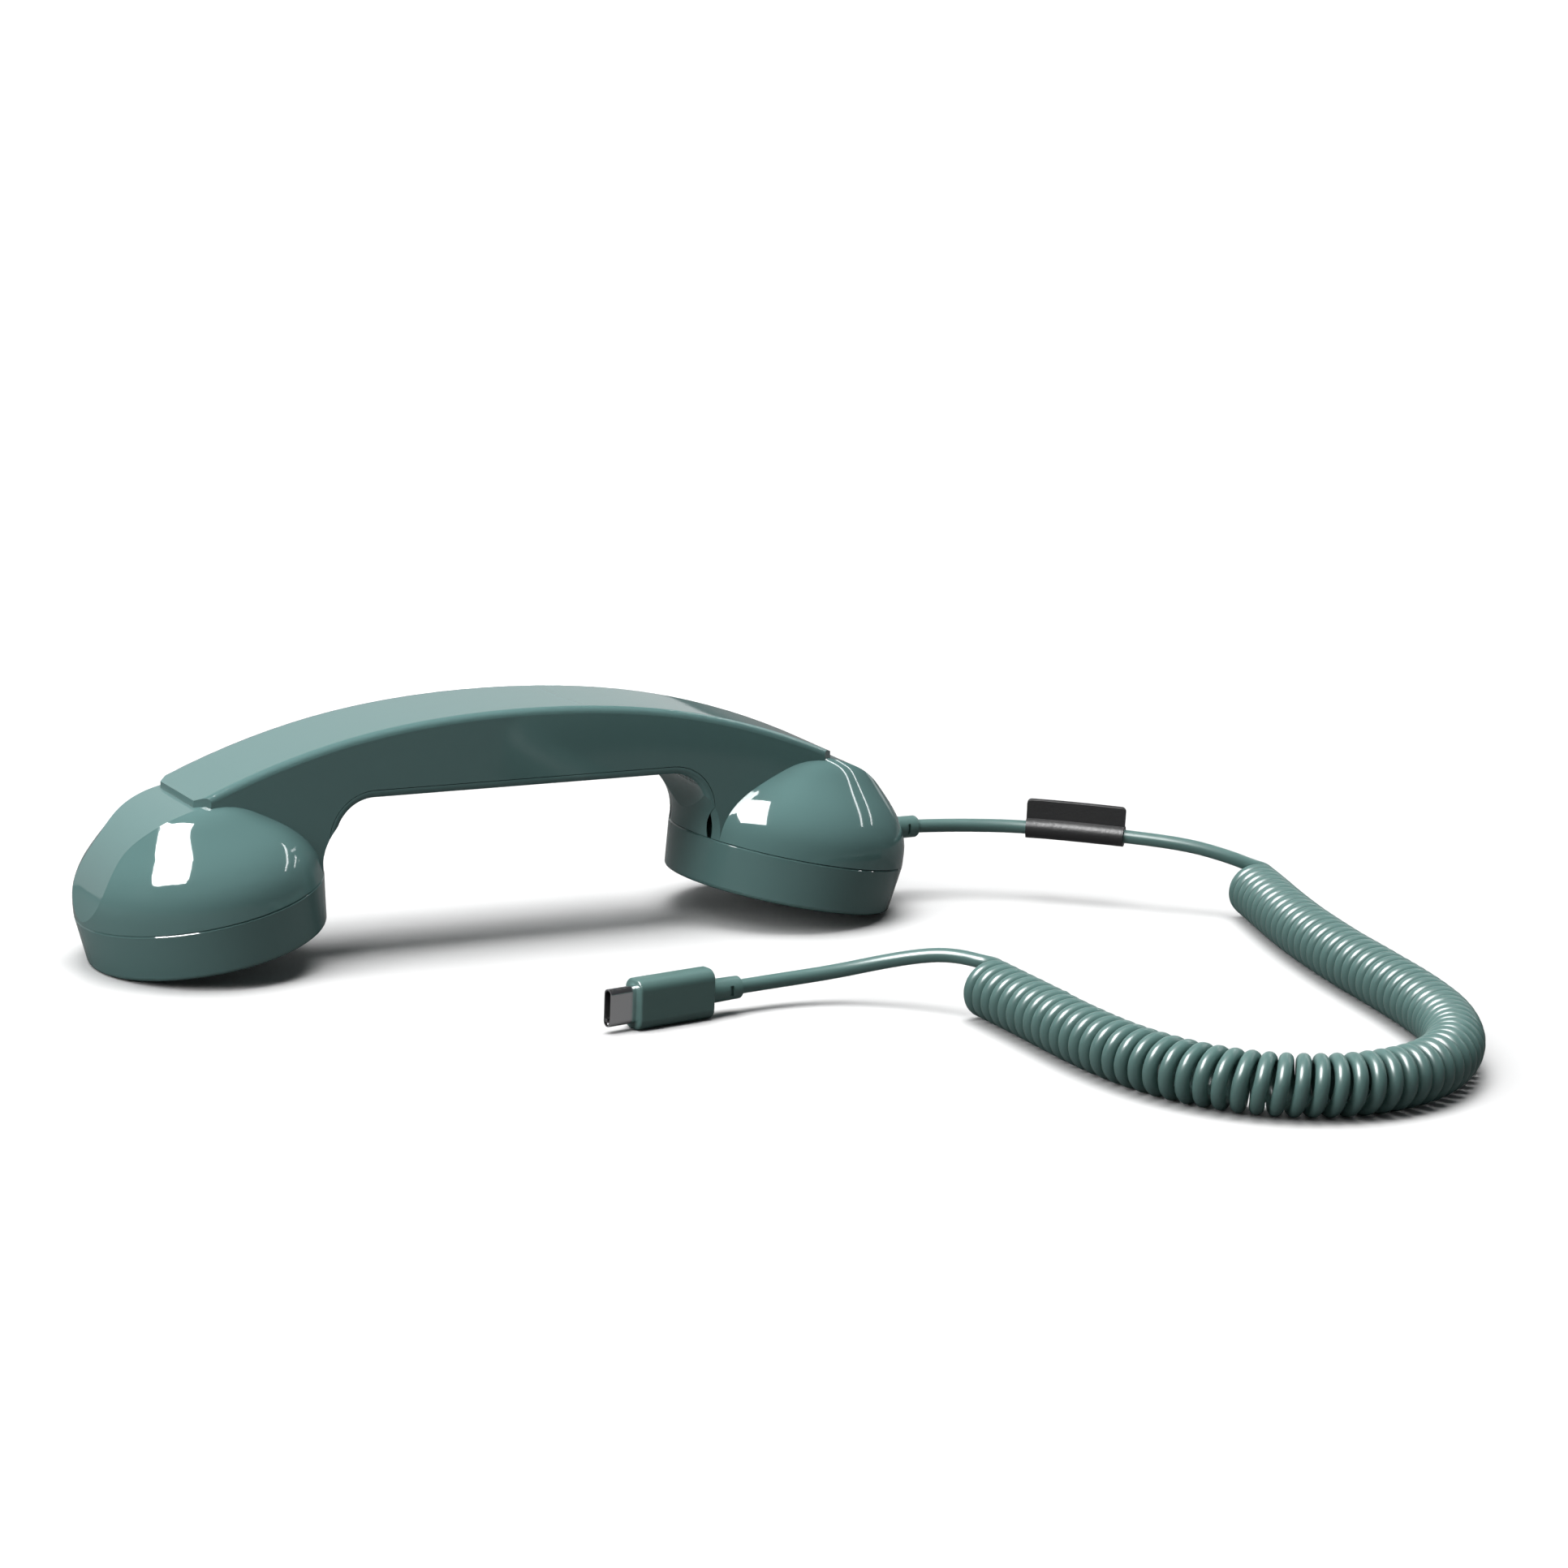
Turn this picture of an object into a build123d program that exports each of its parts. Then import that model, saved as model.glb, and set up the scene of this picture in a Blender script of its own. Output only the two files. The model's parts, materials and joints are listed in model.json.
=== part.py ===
from build123d import *
import math
import os

# Telephone handset on a curly cord. Millimetres, +X along the handset, +Z up, floor at z = 0.

# Driving dimensions: caps
RIM_RADIUS = 28.0           # radius where a cap meets the shell
CAP_BOTTOM_RADIUS = 26.8
CAP_HEIGHT = 11.2
CAP_EDGE = 1.0              # rounding of the lower edge of a cap
CAP_WALL = 2.2
CAP_TILT = math.degrees(0.193)
RIM_OFFSET = 73.5           # from the middle of the handset to the centre of a rim
DISH_DEPTH = 0.9

# Driving dimensions: shell
WALL = 2.2
HANDLE_HALF_WIDTH = 13.0
HANDLE_TOP = 55.0
HANDLE_END = 79.0           # where the top face ends in a small step
TOP_FILLET = 1.5
STEP_CHAMFER = 3.0
UNDERSIDE_Z = 37.2
NECK_X = 46.0
NECK_RADIUS = 9.0
UNDER_FILLET = 1.3
TRUMPET_RADIUS = 12.5       # flare from the rim up to the corners of the handle
CREASE_FILLET = 0.8

# Driving dimensions: inner cover, button and fasteners
COVER_THICKNESS = 1.9
PARTING_GAP = 0.15
BUTTON_LENGTH = 16.0
BUTTON_WIDTH = 7.0
BUTTON_GAP = 0.3
BUTTON_TRAVEL = 0.5
SCREW_X = 28.0
SCREW_RADIUS = 1.0
POST_RADIUS = 2.8

# Driving dimensions: cords and plug
CORD_RADIUS = 1.6
COIL_RADIUS = 6.75
RELIEF_RADIUS = 2.6
RELIEF_Z = 16.7
RELIEF_END = 108.5
TAG_START = 0.39            # shares of the lead's length
TAG_END = 0.65
TAG_RADIUS = 2.5
TAG_FLAP = 4.6
TAG_THICK = 1.3
PLUG_TURN = 10.0            # degrees about z, nose towards -x
PLUG_LENGTH = 20.0
PLUG_HEIGHT = 11.2
PLUG_THICK = 6.2
SHELL_HEIGHT = 8.34         # the reversible plug, standing on its narrow edge
SHELL_THICK = 2.56
SHELL_LENGTH = 6.65

# Derived values
TILT = math.radians(CAP_TILT)
EDGE_LIFT = CAP_EDGE * (math.sin(TILT) + math.cos(TILT) - 1.0)
RIM_Z = CAP_BOTTOM_RADIUS * math.sin(TILT) + CAP_HEIGHT * math.cos(TILT) - EDGE_LIFT
PARTING_Z = UNDERSIDE_Z + COVER_THICKNESS
BOARD_Z = PARTING_Z + 5.2

# Side view of a dome, from the inner rim over the top to the outer rim (distance from the middle, height)
ARCH = [(46.0, 20.5), (48.6, 30.5), (56.0, 37.2), (66.0, 39.4), (77.5, 38.0), (86.4, 34.8), (92.2, 30.4),
        (97.6, 23.0), (101.2, 10.0)]
# Turned form of a dome (radius, height above the rim)
DOME = [(28.0, 0.0), (27.4, 5.0), (23.9, 11.6), (18.3, 17.5), (13.6, 21.6), (7.5, 24.0), (0.0, 24.8)]

# Cord centrelines, chosen by eye from the picture
HANDSET_LEAD = [(100.0, 0.0, 16.7), (104.5, 0.0, 16.7), (109.0, 0.0, 16.7), (122.0, -4.0, 16.8),
                (134.0, -11.0, 17.0), (153.0, -27.0, 16.6), (163.0, -36.0, 15.9), (170.0, -42.0, 14.0),
                (175.0, -46.0, 11.9)]
COIL = [(175.5, -43.5, 6.75), (173.2, -52.0, 6.75), (165.0, -80.0, 6.75), (159.8, -106.0, 6.75),
        (157.0, -127.0, 6.75), (153.8, -147.0, 6.75), (149.0, -164.0, 6.75), (139.5, -180.0, 6.75),
        (125.0, -191.5, 6.75), (109.0, -195.5, 6.75), (96.0, -193.3, 6.75), (84.0, -186.5, 6.75),
        (75.5, -174.5, 6.75), (71.0, -160.0, 6.75), (69.6, -142.0, 6.75), (70.2, -121.0, 6.75),
        (70.0, -99.0, 6.75)]
PLUG_LEAD = [(70.5, -101.5, 11.9), (66.8, -95.0, 12.3), (62.4, -90.4, 11.9), (55.4, -84.6, 9.8),
             (43.8, -79.4, 6.8), (30.0, -77.8, 5.6), (20.0, -79.4, 5.6)]

PLUG_ORIGIN = (-7.3, -84.2)     # front face of the plug housing, on the floor


def cap_plane(side):
    """Plane of a rim: x outwards along the rim, z along the axis of the cap."""
    return Plane(origin=(side * RIM_OFFSET, 0, RIM_Z),
                 x_dir=(side * math.cos(TILT), 0, -math.sin(TILT)),
                 z_dir=(side * math.sin(TILT), 0, math.cos(TILT)))


def on_cap(shape, side):
    """Moves a shape drawn about the z axis to a cap."""
    return cap_plane(side) * shape


def turned(points):
    """Full turn of a closed outline of (radius, height) points about the z axis."""
    with BuildPart() as part:
        with BuildSketch(Plane.XZ):
            with BuildLine():
                Polyline(points, close=True)
            make_face()
        revolve(axis=Axis.Z)
    return part.part


def disc(radius, low, high):
    """Plain cylinder between two heights on the z axis."""
    return Pos(0, 0, low) * Cylinder(radius, high - low, align=(Align.CENTER, Align.CENTER, Align.MIN))


def ring(outer, inner, low, high):
    """Plain ring between two heights on the z axis."""
    return disc(outer, low, high) - disc(inner, low - 1, high + 1)


def side_prism(points, half_width):
    """Closed (x, z) outline extruded both ways in y."""
    with BuildPart() as part:
        with BuildSketch(Plane.XZ):
            with BuildLine():
                Polyline(points, close=True)
            make_face()
        extrude(amount=half_width, both=True)
    return part.part


def handle_height(x):
    """Height of the long curve of the handle top."""
    k = (x / 100.0) ** 2
    return HANDLE_TOP - 19.4 * k - 16.0 * k ** 2 + 10.3 * k ** 3


def opening(extra, half_width=60.0):
    """Space under the handle, grown by a distance, as a prism across y."""
    x = NECK_X + extra
    with BuildPart() as part:
        with BuildSketch(Plane.XZ) as sketch:
            with BuildLine():
                Polyline((-x, -20), (x, -20), (x, UNDERSIDE_Z + extra), (-x, UNDERSIDE_Z + extra), close=True)
            make_face()
            top = sketch.vertices().group_by(Axis.Z)[-1]
            fillet(top, NECK_RADIUS + extra)
        extrude(amount=half_width, both=True)
    return part.part


def handle_bar(inset):
    """Bar of the handle down to the rims, its skin moved inwards by a distance."""
    end = HANDLE_END - inset
    low = 4.0
    curve = [(x, handle_height(x) - inset) for x in [-end, -60, -40, -20, 0, 20, 40, 60, end]]
    with BuildPart() as part:
        with BuildSketch(Plane.XZ):
            with BuildLine():
                top = Spline(*curve)
                Polyline(top @ 1, (end, low), (-end, low), top @ 0)
            make_face()
        extrude(amount=HANDLE_HALF_WIDTH - inset, both=True)
        corners = part.edges().filter_by(Axis.Z)
        chamfer(corners, STEP_CHAMFER)
    return part.part


def arch_prism(side, inset):
    """Prism whose top is the side view of a dome."""
    if inset == 0:
        points = list(ARCH)
    else:
        points = []
        for i, (x, z) in enumerate(ARCH):
            x0, z0 = ARCH[max(i - 1, 0)]
            x1, z1 = ARCH[min(i + 1, len(ARCH) - 1)]
            length = math.hypot(x1 - x0, z1 - z0)
            points.append((x + inset * (z1 - z0) / length, z - inset * (x1 - x0) / length))
    points = [(side * x, z) for x, z in points]
    with BuildPart() as part:
        with BuildSketch(Plane.XZ):
            with BuildLine():
                top = Spline(*points)
                Polyline(top @ 1, (points[-1][0], -10), (points[0][0], -10), top @ 0)
            make_face()
        extrude(amount=45, both=True)
    return part.part


def dome(side, inset):
    """Turned dome cut to the arch, down to the plane of the rim."""
    points = [(max(r - inset, 0), h) for r, h in DOME[:-2]]
    points += [(max(r - inset, 0), h - inset) for r, h in DOME[-2:]]
    points[-1] = (0, DOME[-1][1] - inset)
    with BuildPart() as part:
        with BuildSketch(Plane.XZ):
            with BuildLine():
                side_line = Spline(*points, tangents=[(-0.06, 1), (-1, 0)])
                Polyline(side_line @ 1, (0, 0), (points[0][0], 0))
            make_face()
        revolve(axis=Axis.Z)
    shape = on_cap(part.part, side) & arch_prism(side, inset)
    return shape


def below_rims():
    """Everything under the two rim planes."""
    block = Pos(0, 0, -40) * Box(120, 120, 80)
    return [on_cap(block, side) for side in (-1, 1)]


def trumpets():
    """Space outside the flare that joins a round rim to the square handle."""
    shapes = []
    for side in (-1, 1):
        with BuildPart() as part:
            with BuildSketch(Plane.XZ):
                r, t = RIM_RADIUS, TRUMPET_RADIUS
                with BuildLine():
                    Line((r, -8), (r, 0))
                    RadiusArc((r, 0), (r + t, t), t)
                    Polyline((r + t, t), (r + t + 1, t), (r + t + 1, -8), (r, -8))
                make_face()
            revolve(axis=Axis.Z)
        shapes.append(on_cap(part.part, side))
    return shapes


def outer_form():
    """Whole outer form of shell and inner cover."""
    bar = handle_bar(0)
    long_top = [e for e in bar.edges() if e.length > 100 and e.center().Z > 30]
    bar = fillet(long_top, TOP_FILLET)
    bar = bar - opening(0)
    lower = [e for e in bar.edges() if abs(abs(e.center().Y) - HANDLE_HALF_WIDTH) < 0.01
             and abs(e.center().X) < NECK_X + 0.01 and e.center().Z < UNDERSIDE_Z + 0.01]
    bar = fillet(lower, UNDER_FILLET)
    for cutter in trumpets() + below_rims():
        bar = bar - cutter
    form = bar
    for side in (-1, 1):
        form = form + dome(side, 0)
    return form


def tube(points, radius):
    """Round cord along an open curve."""
    path = Spline(*points)
    section = Plane(origin=path @ 0, z_dir=path % 0) * Circle(radius)
    return sweep(section, path=path)


def plug_place(shape):
    """Moves a shape drawn with its length along +x to the plug, standing on its edge."""
    return Pos(PLUG_ORIGIN[0], PLUG_ORIGIN[1], 0) * Rot(0, 0, PLUG_TURN) * shape


parts = {}

# Shell and inner cover
form = outer_form()
void = handle_bar(WALL)
for cutter in below_rims():
    void = void - cutter
for side in (-1, 1):
    void = void + dome(side, WALL)
relief_seat = Pos(97.0, 0, RELIEF_Z) * Rot(0, 90, 0) * Cone(5.4, 3.6, 4.6, align=(Align.CENTER, Align.CENTER, Align.MIN))
relief_hole = Pos(90, 0, RELIEF_Z) * Rot(0, 90, 0) * disc(RELIEF_RADIUS + 0.05, 0, 30)
post_height = handle_height(SCREW_X) - 1.0
posts = []
for x in (-SCREW_X, SCREW_X):
    post = Pos(x, 0, 0) * (disc(POST_RADIUS, PARTING_Z, post_height))
    posts.append(post)
shell = form - void - opening(COVER_THICKNESS)
shell = shell + (relief_seat - void - below_rims()[1])
for post in posts:
    shell = shell + post
for x in (-SCREW_X, SCREW_X):
    shell = shell - Pos(x, 0, 0) * disc(SCREW_RADIUS, PARTING_Z - 1, PARTING_Z + 6.2)
clamp_bosses = []
for y in (-7.5, 7.5):
    boss = on_cap(Pos(11.0, y, 0) * disc(2.4, 3.0, 21.0), 1)
    clamp_bosses.append(boss & form)
for boss in clamp_bosses:
    shell = shell + boss
for y in (-7.5, 7.5):
    shell = shell - on_cap(Pos(11.0, y, 0) * disc(0.9, -1, 8.5), 1)
shell = shell - relief_hole
parts["outer_shell"] = shell

cover = form & opening(COVER_THICKNESS - PARTING_GAP)
button_hole = Pos(0, 0, UNDERSIDE_Z) * extrude(SlotOverall(BUTTON_LENGTH, BUTTON_WIDTH), 5, both=True)
cover = cover - button_hole
sunk_hole = turned([(0, -1), (2.4, -1), (2.4, 0.1), (1.2, 1.3), (1.2, 6), (0, 6)])
for x in (-SCREW_X, SCREW_X):
    cover = cover - Pos(x, 0, UNDERSIDE_Z) * sunk_hole
parts["inner_cover"] = cover

screws = []
for x in (-SCREW_X, SCREW_X):
    screw = Cone(2.1, SCREW_RADIUS, 1.0, align=(Align.CENTER, Align.CENTER, Align.MIN))
    screw = screw + disc(SCREW_RADIUS - 0.02, 0.5, 6.5)
    screw = screw - Box(0.5, 2.6, 0.7) - Box(2.6, 0.5, 0.7)
    screws.append(Pos(x, 0, UNDERSIDE_Z + 0.12) * screw)
parts["cover_screws"] = Compound(children=screws)

# Caps
for name, side in (("ear_cap", -1), ("mouth_cap", 1)):
    low = -CAP_HEIGHT
    outline = [(RIM_RADIUS - 0.25, -PARTING_GAP), (RIM_RADIUS, -0.45), (CAP_BOTTOM_RADIUS, low)]
    outline += [(20.0, low), (18.0, low + DISH_DEPTH * 0.45), (12.0, low + DISH_DEPTH * 0.85), (0, low + DISH_DEPTH)]
    outline += [(0, low + 3.0), (CAP_BOTTOM_RADIUS - CAP_WALL - 0.6, low + 3.0), (RIM_RADIUS - 4.6, -1.5)]
    outline += [(RIM_RADIUS - 4.6, 2.6), (RIM_RADIUS - 2.75, 2.6), (RIM_RADIUS - 2.75, -PARTING_GAP)]
    cap = turned(outline)
    edge = [e for e in cap.edges() if abs(e.center().Z - low) < 0.01 and e.length > 2 * math.pi * 26]
    cap = fillet(edge, CAP_EDGE)
    holes = []
    if name == "ear_cap":
        rings = ((0, 1), (4.2, 6), (8.4, 12))
        hole = 1.05
    else:
        rings = ((3.2, 5), (7.0, 10))
        hole = 0.9
    for radius, count in rings:
        for i in range(count):
            angle = 2 * math.pi * (i + 0.5 * (radius > 5)) / count
            spot = (radius * math.cos(angle), radius * math.sin(angle))
            holes.append(Pos(spot[0], spot[1], 0) * disc(hole, low - 1, low + 4))
    for one in holes:
        cap = cap - one
    parts[name] = on_cap(cap, side)

# Call button with its stem, switch, board and chip
flange = Pos(0, 0, PARTING_Z + 0.3) * extrude(SlotOverall(BUTTON_LENGTH + 3, BUTTON_WIDTH + 3), 0.9)
cap_part = Pos(0, 0, UNDERSIDE_Z - 0.7) * extrude(
    SlotOverall(BUTTON_LENGTH - 2 * BUTTON_GAP, BUTTON_WIDTH - 2 * BUTTON_GAP), PARTING_Z + 0.4 - UNDERSIDE_Z + 0.7)
edge = cap_part.edges().group_by(Axis.Z)[0]
cap_part = fillet(edge, 0.5)
parts["call_button"] = cap_part + flange
parts["button_stem"] = Pos(0, 0, 0) * disc(1.5, PARTING_Z + 1.2, BOARD_Z - 1.75 - BUTTON_TRAVEL - 0.15)
parts["button_switch"] = Pos(0, 0, BOARD_Z - 0.875) * Box(6, 6, 1.75)
board = Pos(0, 0, BOARD_Z + 0.6) * Box(46, 15, 1.2)
parts["circuit_board"] = board
parts["audio_chip"] = Pos(12, 0, BOARD_Z + 1.2 + 0.5) * Box(7, 7, 1.0)
blocks = [Pos(x, 0, BOARD_Z + 1.2 + 1.0) * Box(5, 10, 2.0) for x in (-20, 20)]
parts["wire_sockets"] = Compound(children=[b for b in blocks])

# Receiver in the ear end
face = -CAP_HEIGHT + 3.0
parts["ear_mesh"] = on_cap(disc(13.0, face, face + 0.25), -1)
parts["receiver_gasket"] = on_cap(ring(17.5, 14.0, face, face + 1.2), -1)
frame = turned([(17.5, face + 1.2), (17.5, face + 3.2), (12.5, face + 7.2), (10.0, face + 7.2), (10.0, face + 6.0),
                (14.0, face + 2.6), (14.0, face + 1.2)])
parts["receiver_frame"] = on_cap(frame, -1)
parts["receiver_diaphragm"] = on_cap(turned([(14.0, face + 1.5), (14.0, face + 1.9), (7.0, face + 3.0), (6.0, face + 2.2),
                                             (0, face + 1.4), (0, face + 1.0), (6.2, face + 1.8), (7.0, face + 2.5)]), -1)
parts["receiver_magnet"] = on_cap(disc(10.0, face + 6.2, face + 10.5), -1)

# Microphone in the mouth end
parts["mouth_mesh"] = on_cap(disc(11.0, face, face + 0.25), 1)
boot = turned([(7.5, face + 0.25), (7.5, face + 5.6), (5.05, face + 5.6), (5.05, face + 1.2), (3.0, face + 1.2),
               (3.0, face + 0.25)])
parts["microphone_boot"] = on_cap(boot, 1)
parts["microphone_capsule"] = on_cap(disc(5.0, face + 1.2, face + 5.0), 1)

# Cord clamp inside the mouth end
clamp = Pos(11.0, 0, 1.9) * Box(5.0, 20.0, 2.0)
for y in (-7.5, 7.5):
    clamp = clamp - Pos(11.0, y, 0) * disc(1.1, 0, 4)
parts["cord_clamp"] = on_cap(clamp, 1)
clamp_screws = []
for y in (-7.5, 7.5):
    one = disc(1.9, -0.6, 0.85) + disc(0.85, 0.5, 8.0)
    one = one - Pos(0, 0, -0.6) * Box(0.5, 2.4, 1.0) - Pos(0, 0, -0.6) * Box(2.4, 0.5, 1.0)
    clamp_screws.append(on_cap(Pos(11.0, y, 0) * one, 1))
parts["clamp_screws"] = Compound(children=clamp_screws)

# Relief, cords and tag
relief = Pos(95.0, 0, RELIEF_Z) * Rot(0, 90, 0) * disc(RELIEF_RADIUS, 0, RELIEF_END - 95.0)
relief = fillet(relief.edges().sort_by(Axis.X)[-1], 0.9)
relief = relief + Pos(93.6, 0, RELIEF_Z) * Rot(0, 90, 0) * disc(4.2, 0, 1.8)
relief = relief - Pos(93, 0, RELIEF_Z) * Rot(0, 90, 0) * disc(CORD_RADIUS + 0.03, 0, 20)
relief = relief - Pos(105.4, -2.6, RELIEF_Z) * Box(0.7, 1.6, 2.4)
parts["cord_relief"] = relief

parts["handset_lead"] = tube(HANDSET_LEAD, CORD_RADIUS)
parts["curly_cord"] = tube(COIL, COIL_RADIUS)
print("handset_lead cord radius", CORD_RADIUS, "plug_lead cord radius", CORD_RADIUS, "curl radius", COIL_RADIUS)
parts["plug_lead"] = tube(PLUG_LEAD, CORD_RADIUS)

# Folded tag: a sleeve round the lead with a double flap that stands up from it
path = Spline(*HANDSET_LEAD)
piece = path.trim(TAG_START, TAG_END)
heading = piece % 0
section = (Circle(TAG_RADIUS) + Pos(0, TAG_RADIUS + TAG_FLAP / 2 - 0.4) * Rectangle(TAG_THICK, TAG_FLAP + 0.8)
           - Circle(CORD_RADIUS + 0.06))
tag = sweep(Plane(origin=piece @ 0, x_dir=(-heading.Y, heading.X, 0), z_dir=heading) * section, path=piece)
parts["cord_tag"] = tag

# Plug, drawn nose at -x with its front face at x = 0, then turned into place
half = PLUG_HEIGHT / 2
housing = Pos(0, 0, half) * Rot(0, 90, 0) * extrude(RectangleRounded(PLUG_HEIGHT, PLUG_THICK, 2.4), PLUG_LENGTH)
housing = fillet(housing.edges().group_by(Axis.X)[0] + housing.edges().group_by(Axis.X)[-1], 0.6)
housing = housing - Pos(-1, 0, half) * Rot(0, 90, 0) * extrude(RectangleRounded(SHELL_HEIGHT, SHELL_THICK, 1.2), 5.0)
housing = housing - Pos(15, 0, half) * Rot(0, 90, 0) * disc(CORD_RADIUS, 0, 10)
parts["plug_housing"] = plug_place(housing)
metal = Pos(-SHELL_LENGTH, 0, half) * Rot(0, 90, 0) * extrude(
    RectangleRounded(SHELL_HEIGHT, SHELL_THICK, 1.2), SHELL_LENGTH + 4.0)
metal = metal - Pos(-SHELL_LENGTH - 0.1, 0, half) * Rot(0, 90, 0) * extrude(
    RectangleRounded(SHELL_HEIGHT - 0.6, SHELL_THICK - 0.6, 0.9), SHELL_LENGTH + 2.0)
parts["plug_shell"] = plug_place(metal)
parts["plug_contacts"] = plug_place(Pos(-2.6, 0, half + 3.2) * Box(6.0, 1.5, 0.5)
                                    + Pos(-2.6, 0, half - 3.2) * Box(6.0, 1.5, 0.5)
                                    + Pos(-0.3, 0, half) * Box(1.2, 1.5, 6.6))
collar = Pos(PLUG_LENGTH, 0, half) * Rot(0, 90, 0) * (
    Cone(2.65, 2.5, 8.0, align=(Align.CENTER, Align.CENTER, Align.MIN)) - disc(CORD_RADIUS + 0.03, -1, 12))
collar = collar - Pos(PLUG_LENGTH + 5.0, -2.6, half) * Box(1.0, 1.6, 2.3)
parts["plug_relief"] = plug_place(collar)

os.makedirs("parts", exist_ok=True)
for name, shape in parts.items():
    shape.label = name
    export_step(shape, "parts/" + name + ".step")
    box = shape.bounding_box()
    print(name, round(shape.volume, 1), [round(v, 1) for v in (*box.min, *box.max)], len(shape.solids()))
print("cord radius", CORD_RADIUS, "coil radius", COIL_RADIUS)
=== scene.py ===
"""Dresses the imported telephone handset: cords, tag, finishes, floor, lights and the photo's camera."""

from __future__ import annotations

import json
import logging
import math
from dataclasses import dataclass, field
from enum import Enum

import bmesh
import bpy
from mathutils import Matrix, Vector

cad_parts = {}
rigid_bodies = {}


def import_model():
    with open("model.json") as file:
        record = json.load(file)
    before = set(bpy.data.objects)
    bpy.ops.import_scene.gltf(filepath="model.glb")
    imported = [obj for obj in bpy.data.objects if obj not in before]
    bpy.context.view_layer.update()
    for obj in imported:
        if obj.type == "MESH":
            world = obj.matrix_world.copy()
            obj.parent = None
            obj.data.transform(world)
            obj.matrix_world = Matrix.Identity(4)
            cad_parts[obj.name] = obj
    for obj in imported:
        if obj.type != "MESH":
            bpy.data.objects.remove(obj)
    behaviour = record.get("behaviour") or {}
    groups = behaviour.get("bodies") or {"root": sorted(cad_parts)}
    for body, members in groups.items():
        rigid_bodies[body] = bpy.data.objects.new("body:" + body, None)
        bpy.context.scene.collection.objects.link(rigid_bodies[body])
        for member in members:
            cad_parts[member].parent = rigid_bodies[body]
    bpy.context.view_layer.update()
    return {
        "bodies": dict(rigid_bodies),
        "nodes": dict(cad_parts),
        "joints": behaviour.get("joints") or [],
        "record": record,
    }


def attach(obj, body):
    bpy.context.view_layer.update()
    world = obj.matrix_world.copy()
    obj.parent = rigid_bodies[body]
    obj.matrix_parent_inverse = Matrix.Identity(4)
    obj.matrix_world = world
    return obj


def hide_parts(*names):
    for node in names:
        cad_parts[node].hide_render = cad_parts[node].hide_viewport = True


LOG = logging.getLogger("handset")
MM = 0.001
HANDSET_BODY = "handset"
UP = Vector((0.0, 0.0, 1.0))
WHITE = (1.0, 1.0, 1.0, 1.0)

Point = tuple[float, float, float]
Color = tuple[float, float, float]


class Slot(Enum):
    """Material slots of the record that the scene's finishes are made for."""

    SHELL = "shell_plastic"
    BUTTON = "button_plastic"
    BLACK = "black_plastic"
    SOCKET = "socket_plastic"
    BOARD = "board_laminate"
    MESH = "mesh_fabric"
    RUBBER = "soft_rubber"
    FILM = "diaphragm_film"
    CAPSULE = "capsule_aluminium"
    STEEL = "screw_steel"
    PLUG = "plug_steel"
    TAG = "tag_fabric"
    CORD = "cord_plastic"


@dataclass(frozen=True)
class Finish:
    """How one slot looks.

    Args:
        slot: the record's slot that takes this finish.
        color: linear base colour.
        roughness: middle of the roughness range.
        metallic: 0 for plastics, 1 for bare metal.
        shade: how far the colour drifts over the surface.
        wear: how far the roughness drifts.
        grain_scale: number of grains in a metre.
        grain_height: height of the grain in metres.
    """

    slot: Slot
    color: Color
    roughness: float
    metallic: float = 0.0
    shade: float = 0.04
    wear: float = 0.02
    grain_scale: float = 900.0
    grain_height: float = 0.0


FINISHES: tuple[Finish, ...] = (
    Finish(Slot.SHELL, (0.125, 0.232, 0.225), 0.06, shade=0.03, wear=0.015,
           grain_scale=260.0, grain_height=0.000002),
    Finish(Slot.BUTTON, (0.115, 0.215, 0.205), 0.16, shade=0.03, wear=0.02),
    Finish(Slot.BLACK, (0.018, 0.018, 0.019), 0.42, grain_height=0.00001),
    Finish(Slot.SOCKET, (0.62, 0.6, 0.52), 0.4),
    Finish(Slot.BOARD, (0.015, 0.12, 0.05), 0.3),
    Finish(Slot.MESH, (0.02, 0.02, 0.021), 0.8, grain_scale=2200.0, grain_height=0.00006),
    Finish(Slot.RUBBER, (0.03, 0.03, 0.031), 0.62, grain_height=0.00001),
    Finish(Slot.FILM, (0.5, 0.5, 0.48), 0.22),
    Finish(Slot.CAPSULE, (0.7, 0.7, 0.71), 0.28, metallic=1.0),
    Finish(Slot.STEEL, (0.5, 0.5, 0.51), 0.3, metallic=1.0),
    Finish(Slot.PLUG, (0.66, 0.66, 0.67), 0.2, metallic=1.0, wear=0.05),
    Finish(Slot.TAG, (0.02, 0.02, 0.021), 0.42, grain_scale=1500.0, grain_height=0.00005),
    Finish(Slot.CORD, (0.12, 0.222, 0.208), 0.3, shade=0.05, wear=0.05,
           grain_scale=1300.0, grain_height=0.000006),
)


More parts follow.
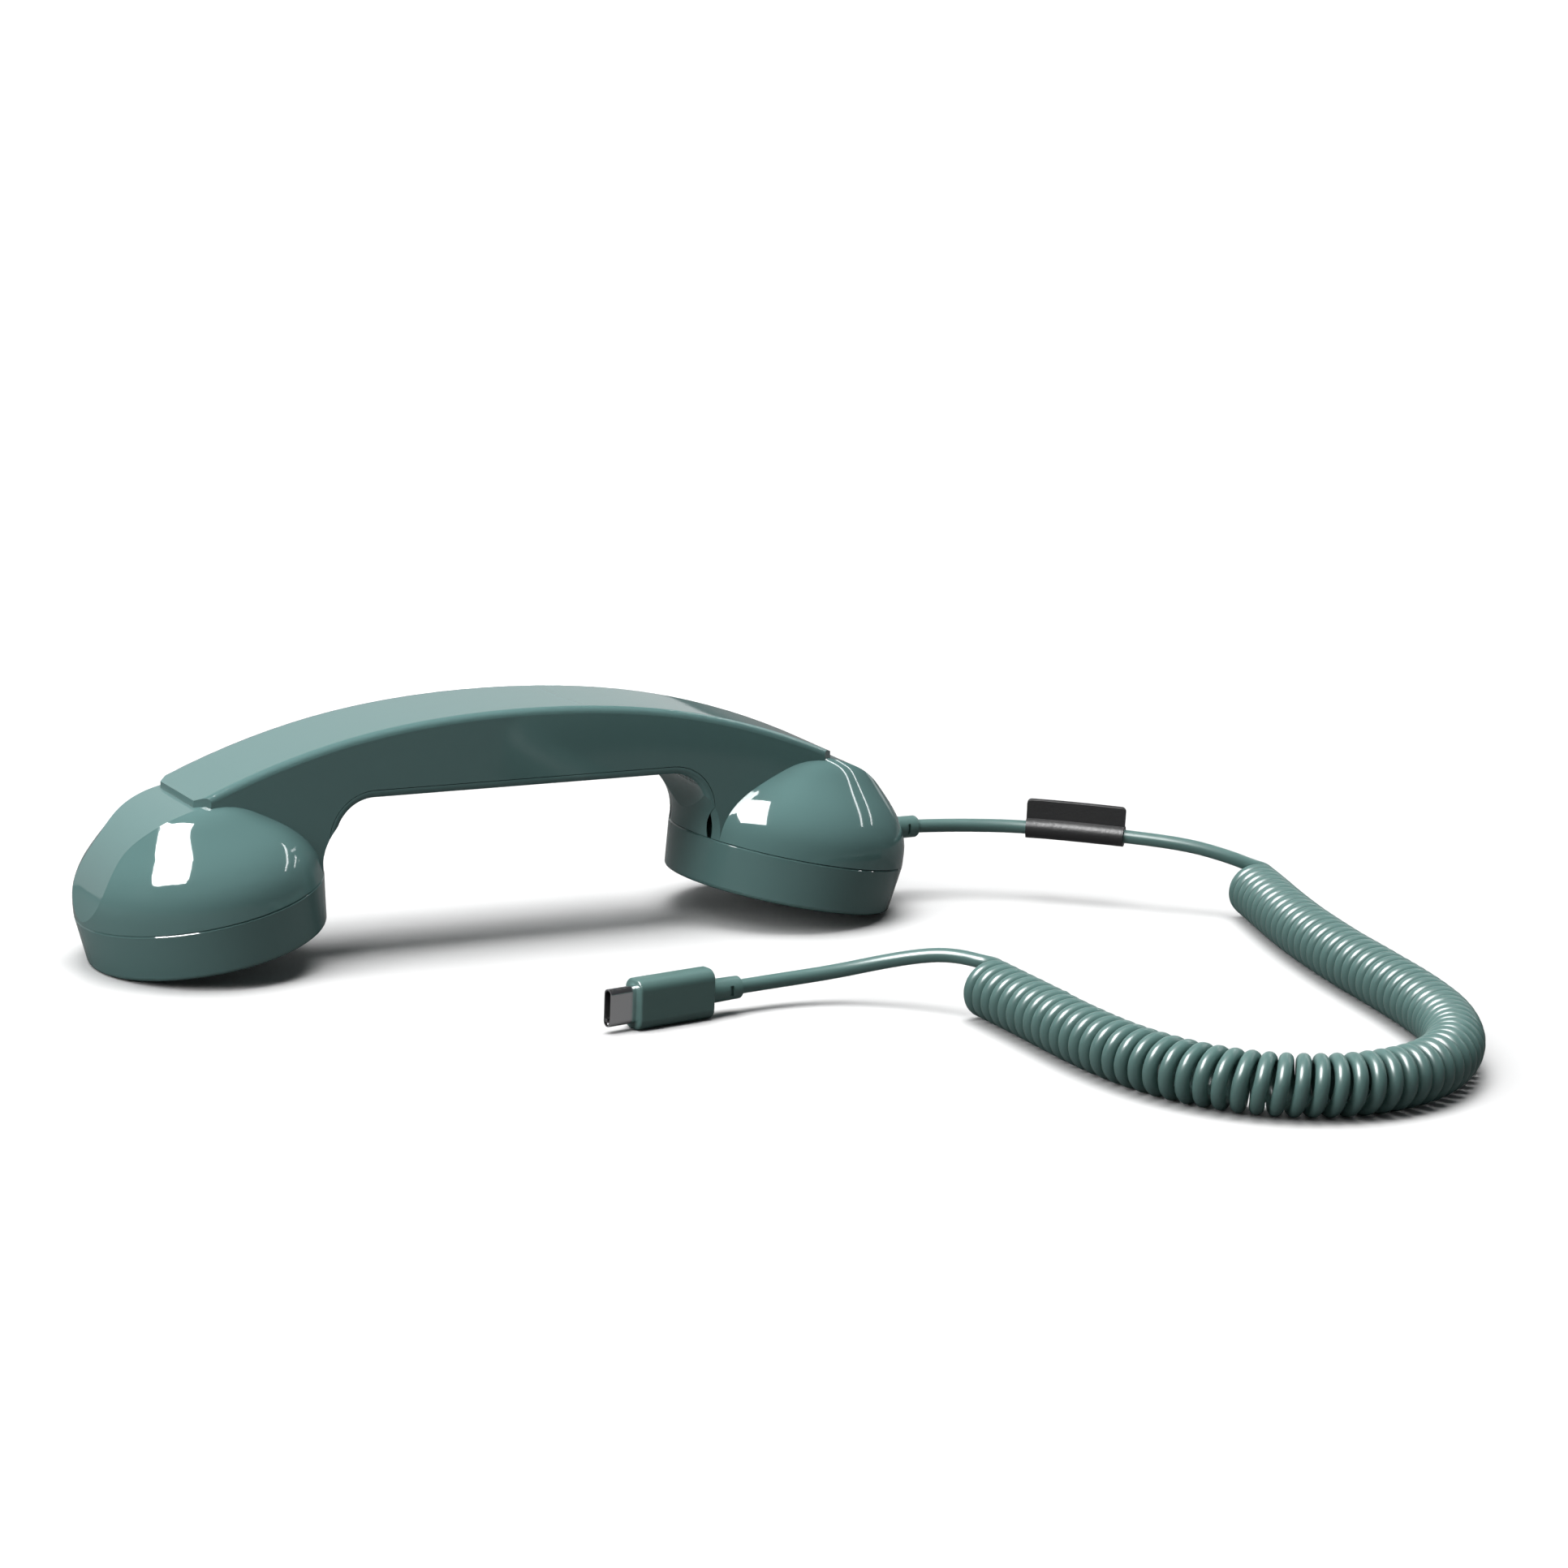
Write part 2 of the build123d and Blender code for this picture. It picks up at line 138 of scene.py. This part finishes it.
class ShaderLibrary:
    """Builds the shared node groups once, and one material for each finish."""

    def __init__(self) -> None:
        self._drift = self._drift_group()
        self._grain = self._grain_group()
        self._finishes = {finish.slot: finish for finish in FINISHES}
        self._made: dict[Slot, bpy.types.Material] = {}

    @staticmethod
    def _socket(tree: bpy.types.NodeTree, name: str, way: str, kind: str, value: float | None = None) -> None:
        """Adds a named socket to a group.

        Args:
            tree: the group.
            name: name of the socket.
            way: INPUT or OUTPUT.
            kind: socket type.
            value: default value of a float input.
        """
        made = tree.interface.new_socket(name=name, in_out=way, socket_type=kind)
        if value is not None:
            made.default_value = value

    def _drift_group(self) -> bpy.types.NodeTree:
        """Slow drift of colour and roughness over a surface.

        Returns:
            The node group.
        """
        tree = bpy.data.node_groups.new("SurfaceDrift", "ShaderNodeTree")
        self._socket(tree, "Color", "INPUT", "NodeSocketColor")
        for name, value in (("Roughness", 0.3), ("Scale", 30.0), ("Shade", 0.04), ("Wear", 0.02)):
            self._socket(tree, name, "INPUT", "NodeSocketFloat", value)
        self._socket(tree, "Color", "OUTPUT", "NodeSocketColor")
        self._socket(tree, "Roughness", "OUTPUT", "NodeSocketFloat")
        nodes, links = tree.nodes, tree.links
        inputs, outputs = nodes.new("NodeGroupInput"), nodes.new("NodeGroupOutput")
        place = nodes.new("ShaderNodeTexCoord")
        noise = nodes.new("ShaderNodeTexNoise")
        noise.inputs["Detail"].default_value = 4.0
        links.new(place.outputs["Object"], noise.inputs["Vector"])
        links.new(inputs.outputs["Scale"], noise.inputs["Scale"])
        centred = nodes.new("ShaderNodeMath")
        centred.operation = "SUBTRACT"
        centred.inputs[1].default_value = 0.5
        links.new(noise.outputs["Fac"], centred.inputs[0])
        bright = nodes.new("ShaderNodeMath")
        bright.operation = "MULTIPLY_ADD"
        bright.inputs[2].default_value = 1.0
        links.new(centred.outputs["Value"], bright.inputs[0])
        links.new(inputs.outputs["Shade"], bright.inputs[1])
        tint = nodes.new("ShaderNodeHueSaturation")
        links.new(inputs.outputs["Color"], tint.inputs["Color"])
        links.new(bright.outputs["Value"], tint.inputs["Value"])
        rough = nodes.new("ShaderNodeMath")
        rough.operation = "MULTIPLY_ADD"
        links.new(centred.outputs["Value"], rough.inputs[0])
        links.new(inputs.outputs["Wear"], rough.inputs[1])
        links.new(inputs.outputs["Roughness"], rough.inputs[2])
        links.new(tint.outputs["Color"], outputs.inputs["Color"])
        links.new(rough.outputs["Value"], outputs.inputs["Roughness"])
        return tree

    def _grain_group(self) -> bpy.types.NodeTree:
        """Fine grain as a height.

        Returns:
            The node group.
        """
        tree = bpy.data.node_groups.new("FineGrain", "ShaderNodeTree")
        self._socket(tree, "Scale", "INPUT", "NodeSocketFloat", 900.0)
        self._socket(tree, "Height", "OUTPUT", "NodeSocketFloat")
        nodes, links = tree.nodes, tree.links
        inputs, outputs = nodes.new("NodeGroupInput"), nodes.new("NodeGroupOutput")
        place = nodes.new("ShaderNodeTexCoord")
        noise = nodes.new("ShaderNodeTexNoise")
        noise.inputs["Detail"].default_value = 2.0
        links.new(place.outputs["Object"], noise.inputs["Vector"])
        links.new(inputs.outputs["Scale"], noise.inputs["Scale"])
        links.new(noise.outputs["Fac"], outputs.inputs["Height"])
        return tree

    def material(self, slot: Slot) -> bpy.types.Material:
        """Makes the material of a slot, or returns the one already made.

        Args:
            slot: the slot.

        Returns:
            The material.
        """
        if slot in self._made:
            return self._made[slot]
        finish = self._finishes[slot]
        material = bpy.data.materials.new(finish.slot.value + "_look")
        material.use_nodes = True
        nodes, links = material.node_tree.nodes, material.node_tree.links
        shader = nodes["Principled BSDF"]
        shader.inputs["Metallic"].default_value = finish.metallic
        drift = nodes.new("ShaderNodeGroup")
        drift.node_tree = self._drift
        drift.inputs["Color"].default_value = (*finish.color, 1.0)
        drift.inputs["Roughness"].default_value = finish.roughness
        drift.inputs["Shade"].default_value = finish.shade
        drift.inputs["Wear"].default_value = finish.wear
        links.new(drift.outputs["Color"], shader.inputs["Base Color"])
        links.new(drift.outputs["Roughness"], shader.inputs["Roughness"])
        if finish.grain_height > 0:
            grain = nodes.new("ShaderNodeGroup")
            grain.node_tree = self._grain
            grain.inputs["Scale"].default_value = finish.grain_scale
            bump = nodes.new("ShaderNodeBump")
            bump.inputs["Strength"].default_value = 1.0
            bump.inputs["Distance"].default_value = finish.grain_height
            links.new(grain.outputs["Height"], bump.inputs["Height"])
            links.new(bump.outputs["Normal"], shader.inputs["Normal"])
        self._made[slot] = material
        return material


def soft_line(points: list[Point], steps: int) -> list[Vector]:
    """Points along the order 3 spline that a curve object draws through control points.

    Args:
        points: control points.
        steps: points for each control point.

    Returns:
        The points along the line, both ends included.
    """
    control = [Vector(p) for p in points]
    line = [control[0]]
    last = len(control) - 2
    for i in range(1, len(control) - 1):
        start = control[0] if i == 1 else (control[i - 1] + control[i]) / 2
        end = control[-1] if i == last else (control[i] + control[i + 1]) / 2
        for k in range(1, steps + 1):
            t = k / steps
            line.append(start * (1 - t) ** 2 + control[i] * 2 * t * (1 - t) + end * t**2)
    return line


def line_length(line: list[Vector]) -> float:
    """Length of a line of points.

    Args:
        line: the points.

    Returns:
        The sum of its steps.
    """
    return sum((b - a).length for a, b in zip(line, line[1:]))


def at_length(line: list[Vector], distance: float) -> tuple[Vector, Vector]:
    """Point and heading at a distance along a line.

    Args:
        line: the points.
        distance: distance from the first point.

    Returns:
        The point and the unit heading there.
    """
    gone = 0.0
    for a, b in zip(line, line[1:]):
        step = (b - a).length
        if gone + step >= distance and step > 0:
            return a + (b - a) * ((distance - gone) / step), (b - a).normalized()
        gone += step
    return line[-1], (line[-1] - line[-2]).normalized()


@dataclass
class CurlyCord:
    """The whole cord: lead at the handset, curl, and lead at the plug, drawn as one curve.

    Args:
        diameter: diameter of the cord in millimetres.
        curl_radius: radius of the curl's own line.
        turns: number of turns in the curl.
        points_per_turn: control points in one turn.
        end_margin: clearance between the curl's last turn and its end.
        line_steps: points for each control point where a line is measured along.
        length_steps: the same for the cord's whole length.
        curve_resolution: curve segments for each control point.
        bevel_resolution: subdivisions of the round section.
        handset_lead: control points of the lead at the handset.
        axis: control points of the curl's axis.
        plug_lead: control points of the lead at the plug.
    """

    diameter: float = 3.2
    curl_radius: float = 5.15
    turns: int = 79
    points_per_turn: int = 14
    end_margin: float = 0.2
    line_steps: int = 12
    length_steps: int = 6
    curve_resolution: int = 4
    bevel_resolution: int = 6
    handset_lead: list[Point] = field(default_factory=lambda: [
        (100.0, 0.0, 16.7), (104.5, 0.0, 16.7), (109.0, 0.0, 16.7), (122.0, -4.0, 16.8), (134.0, -11.0, 17.0),
        (153.0, -27.0, 16.6), (163.0, -36.0, 15.9), (170.0, -42.0, 14.0)])
    axis: list[Point] = field(default_factory=lambda: [
        (175.5, -43.5, 6.75), (173.2, -52.0, 6.75), (165.0, -80.0, 6.75), (159.8, -106.0, 6.75),
        (157.0, -127.0, 6.75), (153.8, -147.0, 6.75), (149.0, -164.0, 6.75), (139.5, -180.0, 6.75),
        (125.0, -191.5, 6.75), (109.0, -195.5, 6.75), (96.0, -193.3, 6.75), (84.0, -186.5, 6.75),
        (75.5, -174.5, 6.75), (71.0, -160.0, 6.75), (69.6, -142.0, 6.75), (70.2, -121.0, 6.75),
        (70.0, -99.0, 6.75)])
    plug_lead: list[Point] = field(default_factory=lambda: [
        (66.8, -95.0, 12.3), (62.4, -90.4, 11.9), (55.4, -84.6, 9.8), (43.8, -79.4, 6.8),
        (30.0, -77.8, 5.6), (20.0, -79.4, 5.6)])

    def curl(self) -> list[Point]:
        """Control points of the curl, from the end near the handset to the end near the plug.

        Returns:
            The points in millimetres.
        """
        line = soft_line(self.axis, self.line_steps)
        inset = self.diameter / 2 + self.end_margin
        total = line_length(line) - 2 * inset
        count = self.turns * self.points_per_turn
        radius = self.curl_radius / math.cos(math.pi / self.points_per_turn) ** 0.5
        made: list[Point] = []
        for i in range(count + 1):
            centre, heading = at_length(line, inset + total * i / count)
            turn = 2 * math.pi * i / self.points_per_turn
            across = heading.cross(UP).normalized()
            spot = centre + UP * (radius * math.cos(turn)) - across * (radius * math.sin(turn))
            made.append(tuple(spot))
        return made

    def tagged_line(self) -> list[Vector]:
        """Line of the lead that carries the tag, up to the curl's first turn.

        Returns:
            The points in millimetres.
        """
        return soft_line(self.handset_lead + self.curl()[:2], self.line_steps)

    def control_points(self) -> list[Point]:
        """Every control point of the cord, in millimetres.

        Returns:
            The points.
        """
        return self.handset_lead + self.curl() + self.plug_lead

    def build(self, material: bpy.types.Material) -> bpy.types.Object:
        """Makes the curve object.

        Args:
            material: the cord's finish.

        Returns:
            The object.
        """
        points = self.control_points()
        data = bpy.data.curves.new("curly_cord_line", "CURVE")
        data.dimensions = "3D"
        data.resolution_u = self.curve_resolution
        data.bevel_depth = self.diameter / 2 * MM
        data.bevel_resolution = self.bevel_resolution
        data.use_fill_caps = True
        spline = data.splines.new("NURBS")
        spline.points.add(len(points) - 1)
        for spot, point in zip(spline.points, points):
            spot.co = (point[0] * MM, point[1] * MM, point[2] * MM, 1.0)
        spline.order_u = 3
        spline.use_endpoint_u = True
        data.materials.append(material)
        made = bpy.data.objects.new("curly_cord_line", data)
        bpy.context.scene.collection.objects.link(made)
        return made

    def length(self) -> float:
        """Length of the cord's own line in metres.

        Returns:
            The length.
        """
        return line_length(soft_line(self.control_points(), self.length_steps)) * MM


@dataclass
class FoldedTag:
    """Black tape folded round the lead, with both ends standing up as one flap.

    Args:
        start: distance from the lead's start in millimetres.
        length: length along the lead.
        sleeve_radius: outer radius round the lead.
        flap_height: height of the flap above the sleeve.
        thickness: thickness of the doubled flap.
        corner: radius of the flap's corners.
        around_steps: sides of the sleeve.
        length_steps: rings along the tag.
        smooth_angle: largest angle shaded smooth, in degrees.
    """

    start: float = 35.0
    length: float = 23.5
    sleeve_radius: float = 2.5
    flap_height: float = 4.6
    thickness: float = 1.3
    corner: float = 1.0
    around_steps: int = 28
    length_steps: int = 40
    smooth_angle: float = 40.0

    def _outline(self, flap: float) -> list[tuple[float, float]]:
        """Section of the tag for a flap height, across and up from the lead.

        Args:
            flap: height of the flap at this place.

        Returns:
            The closed outline.
        """
        half = self.thickness / 2
        low = math.asin(half / self.sleeve_radius)
        around = []
        for i in range(self.around_steps + 1):
            turn = math.pi / 2 + low + (2 * math.pi - 2 * low) * i / self.around_steps
            around.append((self.sleeve_radius * math.cos(turn), self.sleeve_radius * math.sin(turn)))
        top = self.sleeve_radius + flap
        cap = [(half, top - half * 0.5), (half * 0.6, top - half * 0.1), (0.0, top),
               (-half * 0.6, top - half * 0.1), (-half, top - half * 0.5)]
        return around + cap

    def build(self, lead: list[Vector], material: bpy.types.Material) -> bpy.types.Object:
        """Makes the tag along the lead.

        Args:
            lead: line of the lead in millimetres.
            material: the tag's finish.

        Returns:
            The object.
        """
        mesh = bmesh.new()
        rings: list[list[bmesh.types.BMVert]] = []
        for i in range(self.length_steps + 1):
            share = 0.5 - 0.5 * math.cos(math.pi * i / self.length_steps)
            along = self.length * share
            centre, heading = at_length(lead, self.start + along)
            across = heading.cross(UP).normalized()
            up = across.cross(heading).normalized()
            inward = min(along, self.length - along)
            flap = self.flap_height
            if inward < self.corner:
                flap -= self.corner - math.sqrt(self.corner**2 - (self.corner - inward) ** 2)
            section = [centre + across * x + up * y for x, y in self._outline(flap)]
            rings.append([mesh.verts.new(spot * MM) for spot in section])
        count = len(rings[0])
        for one, other in zip(rings, rings[1:]):
            for k in range(count):
                mesh.faces.new((one[k], one[(k + 1) % count], other[(k + 1) % count], other[k]))
        mesh.faces.new(list(reversed(rings[0])))
        mesh.faces.new(rings[-1])
        bmesh.ops.recalc_face_normals(mesh, faces=mesh.faces)
        return add_mesh("folded_tag", mesh, material, self.smooth_angle)


def add_mesh(
    name: str, mesh: bmesh.types.BMesh, material: bpy.types.Material, angle: float
) -> bpy.types.Object:
    """Turns a bmesh into an object with smooth shading up to an angle.

    Args:
        name: name of the object.
        mesh: the mesh, freed here.
        material: its finish.
        angle: largest angle shaded smooth, in degrees.

    Returns:
        The object.
    """
    data = bpy.data.meshes.new(name)
    mesh.to_mesh(data)
    mesh.free()
    data.materials.append(material)
    data.shade_smooth()
    data.set_sharp_from_angle(angle=math.radians(angle))
    made = bpy.data.objects.new(name, data)
    bpy.context.scene.collection.objects.link(made)
    return made


class FrameDresser:
    """Gives each CAD node its finish."""

    def __init__(self, frame: dict, shaders: ShaderLibrary) -> None:
        self._nodes: dict[str, bpy.types.Object] = frame["nodes"]
        self._slots = {row["node"]: row["material_slot"] for row in frame["record"]["subparts"]}
        self._shaders = shaders

    def dress(self) -> None:
        """Puts the finishes on all nodes."""
        for name, node in self._nodes.items():
            node.data.materials.clear()
            node.data.materials.append(self._shaders.material(Slot(self._slots[name])))
            for face in node.data.polygons:
                face.material_index = 0


@dataclass(frozen=True)
class Softbox:
    """One area light.

    Args:
        name: name of the light.
        place: its centre in metres.
        target: the point it faces.
        size: width and height in metres.
        power: power in watts.
        along: heading of the box's height.
        fill: whether it lights matt surfaces.
        shine: whether glossy surfaces mirror it.
    """

    name: str
    place: Point
    target: Point
    size: tuple[float, float]
    power: float
    along: Point = (0.0, 0.3, 1.0)
    fill: bool = True
    shine: bool = True

    def build(self) -> bpy.types.Object:
        """Makes the light.

        Returns:
            The light object.
        """
        data = bpy.data.lights.new(self.name, "AREA")
        data.shape = "RECTANGLE"
        data.size, data.size_y = self.size
        data.energy = self.power
        made = bpy.data.objects.new(self.name, data)
        back = (Vector(self.place) - Vector(self.target)).normalized()
        across = Vector(self.along).cross(back).normalized()
        turn = Matrix((across, back.cross(across), back)).transposed().to_4x4()
        made.matrix_world = Matrix.Translation(self.place) @ turn
        made.visible_diffuse = self.fill
        made.visible_glossy = self.shine
        bpy.context.scene.collection.objects.link(made)
        return made


class Studio:
    """Floor, backdrop, lights and camera. Lengths are in metres and angles in radians."""

    FLOOR_REACH: float = 6.0
    FLOOR_CENTRE: Point = (0.05, -0.05, 0.0)
    FLOOR_NEAR: float = 0.22
    FLOOR_FAR: float = 0.42
    FLOOR_SEEN: float = 0.78
    FLOOR_BOUNCE: float = 0.15
    FLOOR_ROUGHNESS: float = 0.9
    BACKDROP_Y: float = 2.4
    BACKDROP_X: tuple[float, float] = (-2.2, 3.4)
    BACKDROP_Z: tuple[float, float] = (0.02, 1.7)
    BACKDROP_GLOW: float = 0.62
    WORLD_COLOR: Color = (0.9, 0.95, 1.0)
    WORLD_STRENGTH: float = 0.05
    CAMERA_PLACE: Point = (-0.487, -1.0444, 0.3005)
    CAMERA_YAW: float = 0.4918
    CAMERA_PITCH: float = 0.2248
    CAMERA_ROLL: float = 0.0380
    LENS_MM: float = 119.25
    SENSOR_MM: float = 36.0
    CLIP: tuple[float, float] = (0.05, 30.0)
    SOFTBOXES: tuple[Softbox, ...] = (
        Softbox("overhead", (0.1, 0.1, 1.5), (0.05, -0.05, 0.0), (1.0, 1.0), 26.0, shine=False),
        Softbox("key_fill", (-0.68, -0.22, 1.03), (-0.05, 0.0, 0.03), (0.7, 0.85), 7.0, shine=False),
        Softbox("key_shine", (-0.65, -0.21, 0.985), (-0.05, 0.0, 0.03), (0.6, 0.78), 60.0, fill=False),
        Softbox("left_fill", (-1.25, -0.2, 0.55), (-0.02, 0.0, 0.03), (0.5, 0.5), 5.5, shine=False),
        Softbox("strip", (0.95, 0.1, 0.75), (0.0, 0.0, 0.03), (0.04, 1.1), 1.6,
                (-0.2, 0.95, 0.35), fill=False),
        Softbox("strip_two", (1.1, 0.32, 0.66), (0.0, 0.0, 0.03), (0.03, 1.1), 1.0,
                (-0.2, 0.95, 0.35), fill=False),
    )

    def __init__(self) -> None:
        self._scene = bpy.context.scene

    @staticmethod
    def _panel(name: str, corners: tuple[Point, Point, Point, Point]) -> bpy.types.Object:
        """One four-cornered panel.

        Args:
            name: name of the object.
            corners: the corners in metres.

        Returns:
            The object.
        """
        mesh = bmesh.new()
        mesh.faces.new([mesh.verts.new(corner) for corner in corners])
        data = bpy.data.meshes.new(name)
        mesh.to_mesh(data)
        mesh.free()
        made = bpy.data.objects.new(name, data)
        bpy.context.scene.collection.objects.link(made)
        return made

    def floor(self) -> None:
        """Pale floor that throws back less light than it shows, and a bright backdrop for reflections."""
        reach = self.FLOOR_REACH
        corners = ((-reach, -reach, 0), (reach, -reach, 0), (reach, reach, 0), (-reach, reach, 0))
        floor = self._panel("floor", corners)
        floor.data.materials.append(self._floor_material())
        (left, right), (low, high), y = self.BACKDROP_X, self.BACKDROP_Z, self.BACKDROP_Y
        corners = ((left, y, low), (right, y, low), (right, y, high), (left, y, high))
        backdrop = self._panel("backdrop", corners)
        glow = bpy.data.materials.new("backdrop_look")
        glow.use_nodes = True
        lamp = glow.node_tree.nodes["Principled BSDF"]
        lamp.inputs["Base Color"].default_value = (0, 0, 0, 1)
        lamp.inputs["Emission Color"].default_value = WHITE
        lamp.inputs["Emission Strength"].default_value = self.BACKDROP_GLOW
        backdrop.data.materials.append(glow)
        backdrop.visible_camera = False

    def _floor_material(self) -> bpy.types.Material:
        """White paper that turns to plain white away from the object.

        Returns:
            The material.
        """
        material = bpy.data.materials.new("floor_look")
        material.use_nodes = True
        nodes, links = material.node_tree.nodes, material.node_tree.links
        shader = nodes["Principled BSDF"]
        shader.inputs["Roughness"].default_value = self.FLOOR_ROUGHNESS
        shader.inputs["Specular IOR Level"].default_value = 0.0
        shader.inputs["Emission Color"].default_value = WHITE
        path, place = nodes.new("ShaderNodeLightPath"), nodes.new("ShaderNodeTexCoord")
        away = nodes.new("ShaderNodeVectorMath")
        away.operation = "DISTANCE"
        away.inputs[1].default_value = self.FLOOR_CENTRE
        links.new(place.outputs["Object"], away.inputs[0])
        fade = nodes.new("ShaderNodeMapRange")
        fade.interpolation_type = "SMOOTHSTEP"
        fade.inputs["From Min"].default_value = self.FLOOR_NEAR
        fade.inputs["From Max"].default_value = self.FLOOR_FAR
        links.new(away.outputs["Value"], fade.inputs["Value"])
        seen = nodes.new("ShaderNodeMath")
        seen.operation = "MULTIPLY"
        links.new(fade.outputs["Result"], seen.inputs[0])
        links.new(path.outputs["Is Camera Ray"], seen.inputs[1])
        links.new(seen.outputs["Value"], shader.inputs["Emission Strength"])
        mix = nodes.new("ShaderNodeMix")
        mix.data_type = "RGBA"
        mix.inputs["A"].default_value = (self.FLOOR_BOUNCE, self.FLOOR_BOUNCE, self.FLOOR_BOUNCE, 1)
        mix.inputs["B"].default_value = (self.FLOOR_SEEN, self.FLOOR_SEEN, self.FLOOR_SEEN, 1)
        links.new(path.outputs["Is Camera Ray"], mix.inputs["Factor"])
        links.new(mix.outputs["Result"], shader.inputs["Base Color"])
        return material

    def lights(self) -> None:
        """Softboxes, and a world that is dim for the object and white for the camera."""
        for box in self.SOFTBOXES:
            box.build()
        world = bpy.data.worlds.new("studio_world")
        self._scene.world = world
        world.use_nodes = True
        nodes, links = world.node_tree.nodes, world.node_tree.links
        dim = nodes["Background"]
        dim.inputs["Color"].default_value = (*self.WORLD_COLOR, 1)
        dim.inputs["Strength"].default_value = self.WORLD_STRENGTH
        white = nodes.new("ShaderNodeBackground")
        white.inputs["Color"].default_value = WHITE
        path, mix = nodes.new("ShaderNodeLightPath"), nodes.new("ShaderNodeMixShader")
        links.new(path.outputs["Is Camera Ray"], mix.inputs["Fac"])
        links.new(dim.outputs["Background"], mix.inputs[1])
        links.new(white.outputs["Background"], mix.inputs[2])
        links.new(mix.outputs["Shader"], nodes["World Output"].inputs["Surface"])

    def camera(self) -> None:
        """Camera at the photo's view."""
        yaw, pitch, roll = self.CAMERA_YAW, self.CAMERA_PITCH, self.CAMERA_ROLL
        ahead = Vector((math.sin(yaw) * math.cos(pitch), math.cos(yaw) * math.cos(pitch), -math.sin(pitch)))
        level = Vector((math.cos(yaw), -math.sin(yaw), 0.0))
        above = level.cross(ahead)
        right = level * math.cos(roll) + above * math.sin(roll)
        up = above * math.cos(roll) - level * math.sin(roll)
        data = bpy.data.cameras.new("photo_camera")
        data.lens = self.LENS_MM
        data.sensor_width = self.SENSOR_MM
        data.clip_start, data.clip_end = self.CLIP
        camera = bpy.data.objects.new("photo_camera", data)
        turn = Matrix((right, up, -ahead)).transposed().to_4x4()
        camera.matrix_world = Matrix.Translation(self.CAMERA_PLACE) @ turn
        self._scene.collection.objects.link(camera)
        self._scene.camera = camera

    def colors(self) -> None:
        """Plain colour transform."""
        self._scene.view_settings.view_transform = "Standard"

    def build(self) -> None:
        """Makes the whole studio."""
        self.floor()
        self.lights()
        self.camera()
        self.colors()


def main() -> None:
    """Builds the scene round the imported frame."""
    logging.basicConfig(level=logging.INFO, format="%(levelname)s %(message)s")
    for leftover in list(bpy.data.objects):
        bpy.data.objects.remove(leftover)
    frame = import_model()
    shaders = ShaderLibrary()
    FrameDresser(frame, shaders).dress()

    cord = CurlyCord()
    line = cord.build(shaders.material(Slot.CORD))
    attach(line, HANDSET_BODY)
    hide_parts("handset_lead", "curly_cord", "plug_lead")

    tag = FoldedTag().build(cord.tagged_line(), shaders.material(Slot.TAG))
    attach(tag, HANDSET_BODY)
    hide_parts("cord_tag")

    round(cord.length(), 3)

    Studio().build()
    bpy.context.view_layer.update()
    LOG.info("cord length %.3f m", cord.length())


if __name__ == "__main__":
    main()
